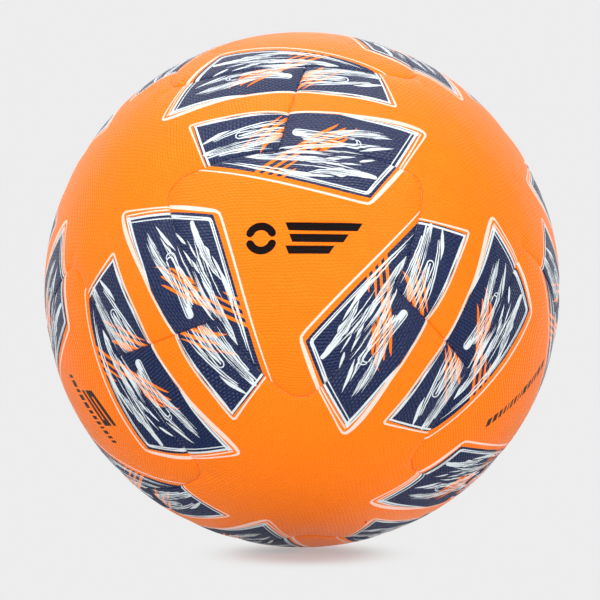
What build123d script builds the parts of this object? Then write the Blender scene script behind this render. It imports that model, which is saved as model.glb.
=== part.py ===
"""Soccer ball, size 5: fourteen laminated panels bonded on a textile carcass over a butyl bladder.

Eight three-pointed corner panels and six cross-shaped face panels tile the sphere with the
rotations of a cube. Each panel is a polyurethane skin with its own foam pad behind it. A bead of
seam adhesive fills the gaps between the pads. Under them lie the wound textile carcass and the
bladder, which carries the valve, its bonded patch and a balance patch on the side opposite.

Frame: millimetres, origin at the ball's centre, +Z up, front panel towards -Y.
"""
from build123d import *
from math import acos, atan2, cos, degrees, pi, radians, sin, sqrt
import os

# ---- overall -------------------------------------------------------------------------------
ball_circumference = 690.0     # size 5, inflated
front_azimuth = -1.3           # where the front corner panel faces, degrees off -Y towards +X
front_elevation = 8.5          # and how far it looks up
front_roll = 2.0               # turn of its lowest point from straight down, seen from outside

# ---- panel pattern, angles at the ball's centre ----------------------------------------------
tip_polar = 32.9               # corner panel: from its centre to each of its three points
junction_polar = 22.4          # corner panel: from its centre to each three-way seam junction
junction_turn = 68.4           # and round from a point to the next junction
tip_radius = 3.5               # rounding of each point

# ---- layers, from outside to inside ----------------------------------------------------------
skin_thickness = 1.2           # polyurethane cover
foam_thickness = 3.4           # closed-cell pad
carcass_thickness = 1.6        # wound thread in rubber
bladder_wall = 1.0             # butyl
bond_line = 0.05               # glue line between two layers

# ---- seams ------------------------------------------------------------------------------------
seam_gap = 0.4                 # between two neighbouring panels
skin_edge_radius = 0.6         # rounded shoulder of each skin along its seams

# ---- valve and patches -------------------------------------------------------------------------
valve_polar = 22.6             # on the lower front face panel: from its centre
valve_azimuth = -145.3         # and round it, from the side that meets the front corner panel
mouth_radius = 1.2             # hole in the skin
stem_radius = 4.5              # rubber stem of the valve body
stem_length = 17.0             # from just under the skin to its inner end
stem_collar_radius = 15.0      # flange vulcanised to the patch
stem_collar_thickness = 1.5
insert_radius = 2.6            # self-sealing plug in the stem
insert_head_radius = 3.4
insert_head_thickness = 1.4
needle_radius = 1.2            # bore for an inflating needle
needle_depth = 14.0            # open bore above the sealing lips
lip_slit = 0.12                # slit that the needle pushes open
valve_clearance = 0.1          # round the stem, the plug and their seats
patch_radius = 24.0            # reinforcing patch between the bladder and the collar
patch_thickness = 0.8
balance_radius = 21.0          # balance patch inside the bladder, opposite the valve
balance_thickness = 1.5

# ---- worked out ----------------------------------------------------------------------------------
ball_radius = ball_circumference / (2 * pi)
skin_inner = ball_radius - skin_thickness
foam_outer = skin_inner - bond_line
foam_inner = foam_outer - foam_thickness
carcass_outer = foam_inner - bond_line
carcass_inner = carcass_outer - carcass_thickness
bladder_outer = carcass_inner - bond_line
bladder_inner = bladder_outer - bladder_wall
patch_outer = bladder_inner - bond_line
patch_inner = patch_outer - patch_thickness
collar_outer = patch_inner - bond_line
collar_inner = collar_outer - stem_collar_thickness
balance_inner = patch_outer - balance_thickness
stem_outer = sqrt(foam_outer ** 2 - stem_radius ** 2)    # its flat end just clears the skin
stem_inner = stem_outer - stem_length
head_floor = stem_outer - insert_head_thickness
needle_floor = stem_outer - needle_depth

face_polar = degrees(acos(1 / sqrt(3)))     # from a cube's corner to its three faces
pyramid_low = 0.3 * ball_radius             # panel prisms run from here
pyramid_high = 1.02 * ball_radius           # to just above the ball
same_place = 0.01                           # two points this near are one

centre = Vector(0, 0, 0)


def on_sphere(plane, polar, azimuth):
    """Unit direction at a polar angle from the plane's normal, turned from its x direction."""
    polar, azimuth = radians(polar), radians(azimuth)
    local = Vector(sin(polar) * cos(azimuth), sin(polar) * sin(azimuth), cos(polar))
    return plane.from_local_coords(local)


def facing(axis, towards):
    """Plane through the ball's centre whose normal is axis and whose x direction leans towards."""
    axis = axis.normalized()
    return Plane(centre, x_dir=towards - axis * towards.dot(axis), z_dir=axis)


def shell(outer, inner, plane=Plane.XY):
    """Hollow sphere; the plane places the poles and the seam line of its two surfaces."""
    layers = [Solid.make_sphere(radius, plane, -90, 90, 360) for radius in (outer, inner)]
    return layers[0] - layers[1]


# ---- directions of the panels ---------------------------------------------------------------------
az, el = radians(front_azimuth), radians(front_elevation)
front = Vector(sin(az) * cos(el), -cos(az) * cos(el), sin(el))
downwards = facing(front, Vector(0, 0, -1))
front_plane = facing(front, on_sphere(downwards, 90, front_roll))
cube_axes = [on_sphere(front_plane, face_polar, 120 * k) for k in range(3)]
face_axes = [axis * sign for sign in (1, -1) for axis in cube_axes]
corner_axes = [
    (cube_axes[0] * i + cube_axes[1] * j + cube_axes[2] * k).normalized()
    for i in (1, -1) for j in (1, -1) for k in (1, -1)
]


def corner_outline(corner):
    """Seam points round a corner panel, and which of them are its rounded points."""
    plane = facing(corner, next(face for face in face_axes if face.dot(corner) > 0))
    outline = []
    for k in range(3):
        outline.append((on_sphere(plane, tip_polar, 120 * k), True))
        outline.append((on_sphere(plane, junction_polar, 120 * k + junction_turn), False))
    return plane, outline


def face_outline(face):
    """Seam points round a face panel: at each corner a junction, a point's notch, a junction."""
    near = [corner for corner in corner_axes if corner.dot(face) > 0]
    plane = facing(face, near[0])
    outline = []
    for corner in near:
        seen = facing(corner, face)
        outline.append((on_sphere(seen, tip_polar, 0), True))
        outline.append((on_sphere(seen, junction_polar, junction_turn), False))
        outline.append((on_sphere(seen, junction_polar, junction_turn - 120), False))

    def turn(seam_point):
        local = plane.to_local_coords(seam_point[0])
        return atan2(local.Y, local.X)

    return plane, sorted(outline, key=turn)


def panel_prism(plane, outline, rounding):
    """Cone of flat seam sides from near the ball's centre, each set back by half the gap."""
    count = len(outline)
    sunk = seam_gap / 2
    points = [direction for direction, is_tip in outline]
    sides = [points[k].cross(points[(k + 1) % count]).normalized() for k in range(count)]
    rings = []
    for height in (pyramid_low, pyramid_high):
        ring = []
        for k, direction in enumerate(points):
            before, after = sides[k - 1], sides[k]
            base = (before + after) * (sunk / (1 + before.dot(after)))
            climb = (height - base.dot(plane.z_dir)) / direction.dot(plane.z_dir)
            ring.append(base + direction * climb)
        rings.append(ring)
    low, high = rings
    walls = [
        Face(Wire.make_polygon([low[k], low[(k + 1) % count], high[(k + 1) % count], high[k]]))
        for k in range(count)
    ]
    prism = Solid(Shell(walls + [Face(Wire.make_polygon(ring)) for ring in rings]))
    for k, (direction, is_tip) in enumerate(outline):
        if is_tip:
            ridge = prism.edges().sort_by_distance((low[k] + high[k]) * 0.5)[0]
            prism = prism.fillet(rounding, [ridge])
    return prism


def skin_and_foam(plane, prism):
    """Cover of one panel, its outer edge rounded over into the seams, and the pad behind it."""
    turned = Plane(centre, x_dir=-plane.z_dir, z_dir=plane.x_dir)
    cover = shell(ball_radius, skin_inner, turned) & prism
    rim = [edge for edge in cover.edges() if abs((edge @ 0.5).length - ball_radius) < same_place]
    return cover.fillet(skin_edge_radius, rim), shell(foam_outer, foam_inner, turned) & prism


def write(name, solid, colour):
    """One STEP file for each named piece."""
    solid.label = name
    solid.color = Color(colour)
    export_step(solid, f"parts/{name}.step")
    print(f"{name:28s} {solid.volume / 1000:9.3f} cm3")


def along_valve(radius, outer, inner):
    """Round bar on the valve's axis between two distances from the ball's centre."""
    plane = Plane(valve_axis * inner, z_dir=valve_axis)
    return plane.location * Solid.make_cylinder(radius, outer - inner)


def cap(axis, radius, outer, inner):
    """Round patch cut from a spherical layer."""
    plane = Plane(centre, z_dir=axis)
    return shell(outer, inner) & (plane.location * Solid.make_cylinder(radius, outer))


# ---- cutters shared by the layers ------------------------------------------------------------------
valve_panel = face_axes[0]
valve_axis = on_sphere(facing(valve_panel, front), valve_polar, valve_azimuth)
mouth = along_valve(mouth_radius, pyramid_high, stem_outer)
stem_seat = along_valve(stem_radius + valve_clearance, pyramid_high, stem_inner - 1)

os.makedirs("parts", exist_ok=True)

# ---- panels: a skin over a foam pad ------------------------------------------------------------------
prisms = []
for k, corner in enumerate(corner_axes, start=1):
    plane, outline = corner_outline(corner)
    prisms.append(panel_prism(plane, outline, tip_radius - seam_gap / 2))
    cover, foam = skin_and_foam(plane, prisms[-1])
    write(f"corner_panel_{k}", cover, "orange")
    write(f"corner_foam_{k}", foam, "ivory")
for k, face in enumerate(face_axes, start=1):
    plane, outline = face_outline(face)
    prisms.append(panel_prism(plane, outline, tip_radius + seam_gap / 2))
    cover, foam = skin_and_foam(plane, prisms[-1])
    if face is valve_panel:
        cover, foam = cover - mouth, foam - stem_seat
    write(f"face_panel_{k}", cover, "darkorange")
    write(f"face_foam_{k}", foam, "ivory")

# ---- seam adhesive: a net that fills the gaps between the foam pads ------------------------------------
bead = shell(foam_outer, foam_inner)
for prism in prisms:
    bead = bead - prism
write("seam_adhesive", bead, "white")

# ---- carcass, bladder and the patches inside it ----------------------------------------------------
write("wound_carcass", shell(carcass_outer, carcass_inner) - stem_seat, "tan")
write("bladder", shell(bladder_outer, bladder_inner) - stem_seat, "black")
write("valve_patch", cap(valve_axis, patch_radius, patch_outer, patch_inner) - stem_seat, "dimgray")
write("balance_patch", cap(-valve_axis, balance_radius, patch_outer, balance_inner), "gray")

# ---- valve: a rubber stem with a collar under the patch, and a self-sealing plug in it ----------------
body = along_valve(stem_radius, stem_outer, stem_inner)
body += cap(valve_axis, stem_collar_radius, collar_outer, collar_inner)
body -= along_valve(insert_radius + valve_clearance, stem_outer, stem_inner)
body -= along_valve(insert_head_radius + valve_clearance, stem_outer, head_floor)
write("valve_body", body, "black")

plug = along_valve(insert_radius, head_floor, stem_inner)
plug += along_valve(insert_head_radius, stem_outer, head_floor)
plug -= along_valve(needle_radius, stem_outer, needle_floor)
lips = Plane(valve_axis * (stem_outer + stem_inner) / 2, z_dir=valve_axis)
plug -= lips.location * Box(2 * needle_radius, lip_slit, stem_length)
write("valve_plug", plug, "firebrick")
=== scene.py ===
"""Looks of a size 5 soccer ball: printed cover panels over bonded inner layers, in a plain studio.

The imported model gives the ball's radius and its inner layers. The eight corner panels and six face
panels of the cover are meshed here, with rolled seam edges and the print cut into the surface.
"""
import logging
import math
from dataclasses import dataclass, field
from enum import Enum
from typing import ClassVar

import bpy
import numpy as np
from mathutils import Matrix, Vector
from mathutils.geometry import delaunay_2d_cdt
from mathutils.kdtree import KDTree


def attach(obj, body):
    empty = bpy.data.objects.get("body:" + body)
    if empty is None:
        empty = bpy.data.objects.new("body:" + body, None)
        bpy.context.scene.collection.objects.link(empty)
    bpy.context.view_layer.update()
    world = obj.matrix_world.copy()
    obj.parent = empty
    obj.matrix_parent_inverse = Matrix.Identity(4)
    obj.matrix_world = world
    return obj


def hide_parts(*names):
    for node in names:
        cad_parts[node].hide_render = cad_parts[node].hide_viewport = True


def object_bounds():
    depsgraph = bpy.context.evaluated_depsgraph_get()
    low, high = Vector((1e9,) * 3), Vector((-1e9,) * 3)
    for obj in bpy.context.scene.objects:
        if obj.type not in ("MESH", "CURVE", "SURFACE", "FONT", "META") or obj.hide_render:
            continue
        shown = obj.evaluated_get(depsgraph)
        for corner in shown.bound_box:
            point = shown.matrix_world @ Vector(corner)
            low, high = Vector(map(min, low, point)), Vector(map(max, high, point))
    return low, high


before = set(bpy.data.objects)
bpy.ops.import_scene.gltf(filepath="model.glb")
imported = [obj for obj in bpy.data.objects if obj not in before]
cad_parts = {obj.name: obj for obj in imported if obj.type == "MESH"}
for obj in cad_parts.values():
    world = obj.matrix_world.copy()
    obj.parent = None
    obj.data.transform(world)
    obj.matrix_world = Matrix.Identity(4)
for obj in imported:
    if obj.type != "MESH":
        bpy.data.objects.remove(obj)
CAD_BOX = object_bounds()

LOG = logging.getLogger("soccer_ball")
MM = 0.001
MOUTH = (0.241963, -0.41479, -0.877156)
Knots = list[tuple[float, ...]]
Point = tuple[float, float]
Place = tuple[float, float, float]
Colour = tuple[float, float, float]
WHITE = (1.0, 1.0, 1.0, 1)


# ---- small geometry helpers ----------------------------------------------------------------------

def unit(vectors: np.ndarray) -> np.ndarray:
    """Vectors scaled to length one along their last axis."""
    return vectors / np.linalg.norm(vectors, axis=-1, keepdims=True)


def facing(axis: np.ndarray, towards: np.ndarray) -> np.ndarray:
    """Turn whose third column is axis and whose first column leans towards a direction.

    Args:
        axis: Direction of the local z axis.
        towards: Direction that the local x axis leans to.

    Returns:
        A 3 by 3 matrix with the local axes as its columns.
    """
    z = unit(axis)
    x = unit(towards - z * (towards @ z))
    return np.column_stack([x, np.cross(z, x), z])


def from_polar(turn: np.ndarray, polar: float, azimuth: float) -> np.ndarray:
    """Direction at a polar angle from a turn's z axis, both angles in degrees."""
    polar, azimuth = math.radians(polar), math.radians(azimuth)
    local = [math.sin(polar) * math.cos(azimuth), math.sin(polar) * math.sin(azimuth), math.cos(polar)]
    return turn @ np.array(local)


@dataclass(frozen=True)
class Chart:
    """Flat map of the ball round one point, true to distance from that point.

    Attributes:
        turn: Local axes as columns: x to the map's right, y up the map, z out of the ball.
        radius: The ball's radius in millimetres.
    """

    turn: np.ndarray
    radius: float

    def lift(self, flat: np.ndarray) -> np.ndarray:
        """Directions of map points given in millimetres."""
        reach = np.linalg.norm(flat, axis=1)
        angle = reach / self.radius
        scale = np.sin(angle) / np.maximum(reach, 1e-9)
        local = np.column_stack([flat * scale[:, None], np.cos(angle)])
        return local @ self.turn.T

    def flatten(self, directions: np.ndarray) -> np.ndarray:
        """Map points, in millimetres, of directions from the ball's centre."""
        local = directions @ self.turn
        across = np.linalg.norm(local[:, :2], axis=1)
        angle = np.arctan2(across, local[:, 2])
        return local[:, :2] * (self.radius * angle / np.maximum(across, 1e-12))[:, None]


def from_compass(sideways: float, upwards: float) -> np.ndarray:
    """Direction from the ball's middle, from degrees to the right of the front and degrees upwards."""
    sideways, upwards = math.radians(sideways), math.radians(upwards)
    return np.array([math.sin(sideways) * math.cos(upwards), -math.cos(sideways) * math.cos(upwards),
                     math.sin(upwards)])


def across(run: np.ndarray) -> np.ndarray:
    """Plane vectors turned a quarter turn to the left."""
    return np.stack([-run[..., 1], run[..., 0]], axis=-1)


def add_object(name: str, data: bpy.types.ID) -> bpy.types.Object:
    """A new object in the scene."""
    made = bpy.data.objects.new(name, data)
    bpy.context.scene.collection.objects.link(made)
    return made


def report(piece: bpy.types.Object) -> None:
    """Log one finished piece."""
    LOG.info("%s: %d faces", piece.name, len(piece.data.polygons))


def smooth(knots: np.ndarray, step: float) -> np.ndarray:
    """Catmull-Rom curve through knots, every column taken along.

    Args:
        knots: Rows of x, y and any further values.
        step: Longest distance between two points of the curve.

    Returns:
        Rows along the curve, the first and last knots among them.
    """
    padded = np.vstack([2 * knots[0] - knots[1], knots, 2 * knots[-1] - knots[-2]])
    rows = []
    for k in range(1, len(padded) - 2):
        before, start, end, after = padded[k - 1:k + 3]
        count = max(1, math.ceil(np.linalg.norm(end[:2] - start[:2]) / step))
        for t in np.arange(count) / count:
            rows.append(0.5 * (2 * start + (end - before) * t
                               + (2 * before - 5 * start + 4 * end - after) * t ** 2
                               + (3 * start - before - 3 * end + after) * t ** 3))
    rows.append(knots[-1])
    return np.array(rows)


# ---- print -----------------------------------------------------------------------------------------

class Ink(Enum):
    """What a piece of the cover's surface is printed with."""

    COVER = 0
    NAVY = 1
    GREY = 2
    PEACH = 3
    BLACK = 4
    SLATE = 5
    HATCH = 6


class Part(Enum):
    """The three panels that share one patch, named as seen with the straight seam upwards."""

    LEFT = "left"
    RIGHT = "right"
    LOWER = "lower"


@dataclass(frozen=True)
class Shape:
    """One printed shape on a flat map.

    Attributes:
        ink: What it is printed with.
        outline: Corner points in millimetres, counter-clockwise.
        ground: True for the navy ground that the strokes of its part are kept inside.
        kept_in: True if it shows only on that ground.
    """

    ink: Ink
    outline: np.ndarray
    ground: bool = False
    kept_in: bool = True


HAIR = 0.04
ROUNDED_FROM = 0.2
SLANT = 0.7


def ribbon(knots: Knots, step: float = 1.0) -> np.ndarray:
    """Outline of a smooth line of changing width.

    Args:
        knots: Rows of x, y and width in millimetres.
        step: Longest distance between two points of its sides.

    Returns:
        Corner points, counter-clockwise, with rounded ends where the line is wide.
    """
    path = smooth(np.array(knots, float), step)
    middle, half = path[:, :2], np.maximum(path[:, 2:3], HAIR) / 2
    along = unit(np.gradient(middle, axis=0))
    aside = across(along)

    def cap(end: int, way: float) -> np.ndarray:
        """Three points round one end, where the line is wide enough to need them."""
        if half[end] <= ROUNDED_FROM:
            return np.empty((0, 2))
        out, side = way * along[end], way * aside[end]
        return middle[end] + half[end] * np.array([SLANT * (out - side), out, SLANT * (out + side)])

    return np.vstack([middle - aside * half, cap(-1, 1.0), (middle + aside * half)[::-1], cap(0, -1.0)])


@dataclass(frozen=True)
class Streak:
    """One dry brush mark with a tapered start and end.

    Attributes:
        start: Where the brush touches down.
        end: Where it lifts off.
        width: Widest width.
        bow: How far the middle stands aside, to the left of the way it runs.
        wobble: Unevenness of its width, from 0 to 1.
        blunt: Width of the start as a share of the widest width.
        seed: Seed of its unevenness.
    """

    KNOT_SPACING: ClassVar[float] = 2.2
    TOUCH_DOWN: ClassVar[float] = 4
    LIFT_OFF: ClassVar[float] = 2.6
    LIFT_CURVE: ClassVar[float] = 0.8
    THIN_SHARE: ClassVar[float] = 0.06
    THINNEST: ClassVar[float] = 0.08
    SHAKE: ClassVar[float] = 0.06

    start: Point
    end: Point
    width: float
    bow: float = 0.0
    wobble: float = 0.15
    blunt: float = 0.3
    seed: int = 0

    def outlines(self) -> list[np.ndarray]:
        """Outline of the mark."""
        rng = np.random.default_rng(self.seed)
        start, end = np.array(self.start), np.array(self.end)
        run = end - start
        length = float(np.linalg.norm(run))
        aside = across(run) / length
        count = max(4, int(length / self.KNOT_SPACING))
        rows = []
        for k in range(count + 1):
            t = k / count
            touch = self.blunt + (1 - self.blunt) * min(1.0, t * self.TOUCH_DOWN)
            swell = touch * min(1.0, (1 - t) * self.LIFT_OFF) ** self.LIFT_CURVE
            width = self.width * max(self.THIN_SHARE, swell) * (1 + self.wobble * rng.normal())
            place = start + run * t + aside * (4 * self.bow * t * (1 - t) + self.SHAKE * rng.normal())
            rows.append((place[0], place[1], max(self.THINNEST, width)))
        return [ribbon(rows)]


@dataclass(frozen=True)
class Bundle:
    """Parallel brush marks left by one dry brush, with the ground showing between them.

    Attributes:
        start: Middle of the brush where it touches down.
        end: Middle of the brush where it lifts off.
        spread: Width of the brush at its start and at its end.
        count: Number of marks.
        width: Middle width of a mark.
        bow: How far the middle of the run stands aside.
        ragged: How far the marks start and stop apart, as a share of the length.
        seed: Seed of the unevenness.
    """

    DRIFT: ClassVar[float] = 0.08
    WOBBLE: ClassVar[float] = 0.18
    WIDTHS: ClassVar[Point] = (0.55, 1.45)
    BLUNTNESS: ClassVar[Point] = (0.2, 0.8)

    start: Point
    end: Point
    spread: tuple[float, float]
    count: int
    width: float
    bow: float = 0.0
    ragged: float = 0.16
    seed: int = 0

    def outlines(self) -> list[np.ndarray]:
        """Outlines of the marks."""
        rng = np.random.default_rng(self.seed)
        start, end = np.array(self.start), np.array(self.end)
        run = end - start
        aside = across(run) / np.linalg.norm(run)
        marks = []
        for k in range(self.count):
            lane = (k / max(1, self.count - 1) - 0.5) + self.DRIFT * rng.normal()
            low, high = sorted(rng.uniform(0, self.ragged, 2))
            first = start + run * low + aside * lane * self.spread[0]
            last = end - run * high + aside * lane * self.spread[1]
            width = self.width * rng.uniform(*self.WIDTHS)
            marks += Streak(tuple(first), tuple(last), width, self.bow, self.WOBBLE,
                            rng.uniform(*self.BLUNTNESS), self.seed * 31 + k).outlines()
        return marks


@dataclass(frozen=True)
class Capsule:
    """A long round-ended loop drawn with one thin line.

    Attributes:
        start: Centre of its first round end.
        end: Centre of its other round end.
        size: Width of the loop between the middles of its two sides.
        line: Width of the drawn line.
    """

    start: Point
    end: Point
    size: float
    line: float

    def outlines(self) -> list[np.ndarray]:
        """Two hooks that together close the loop."""
        start, end = np.array(self.start), np.array(self.end)
        along = (end - start) / np.linalg.norm(end - start)
        aside = across(along) * self.size / 2
        along = along * self.size / 2
        hooks = []
        for tip, way in ((start, -1.0), (end, 1.0)):
            middle = (start + end) / 2
            far = middle - (tip - middle) * 0.1
            rows = [far + aside, (far + tip) / 2 + aside]
            rows += [tip + math.cos(a) * aside + way * math.sin(a) * along
                     for a in np.linspace(0, math.pi, 9)]
            rows += [(far + tip) / 2 - aside, far - aside]
            hooks.append(ribbon([(x, y, self.line) for x, y in rows], 0.7))
        return hooks


@dataclass(frozen=True)
class PatchPart:
    """Print of one part of a patch, on the map round its seam junction. Sizes are in millimetres.

    Attributes:
        ground: Corner points of the navy ground, which runs on under the seams.
        borders: Border lines: ink, whether kept on the ground, and rows of x, y and width.
        strokes: Pale brushed strokes.
        scratches: Hair lines of bare ground left inside the strokes.
        hatch: Slanting bars, as rows of x, y and width.
    """

    ROUGH_STEP: ClassVar[float] = 1.6

    ground: Knots
    borders: list[tuple[Ink, bool, Knots]]
    strokes: list[Streak | Bundle | Capsule]
    scratches: list[Bundle]
    hatch: list[Knots]

    def shapes(self) -> list[Shape]:
        """All printed shapes of the part, from the ground up."""
        made = [Shape(Ink.NAVY, np.array(self.ground, float), ground=True, kept_in=False)]
        made += [Shape(ink, ribbon(rows, self.ROUGH_STEP), kept_in=kept)
                 for ink, kept, rows in self.borders]
        for ink, marks in ((Ink.GREY, self.strokes), (Ink.NAVY, self.scratches)):
            made += [Shape(ink, outline) for mark in marks for outline in mark.outlines()]
        made += [Shape(Ink.HATCH, ribbon(rows, self.ROUGH_STEP)) for rows in self.hatch]
        return made


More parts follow.
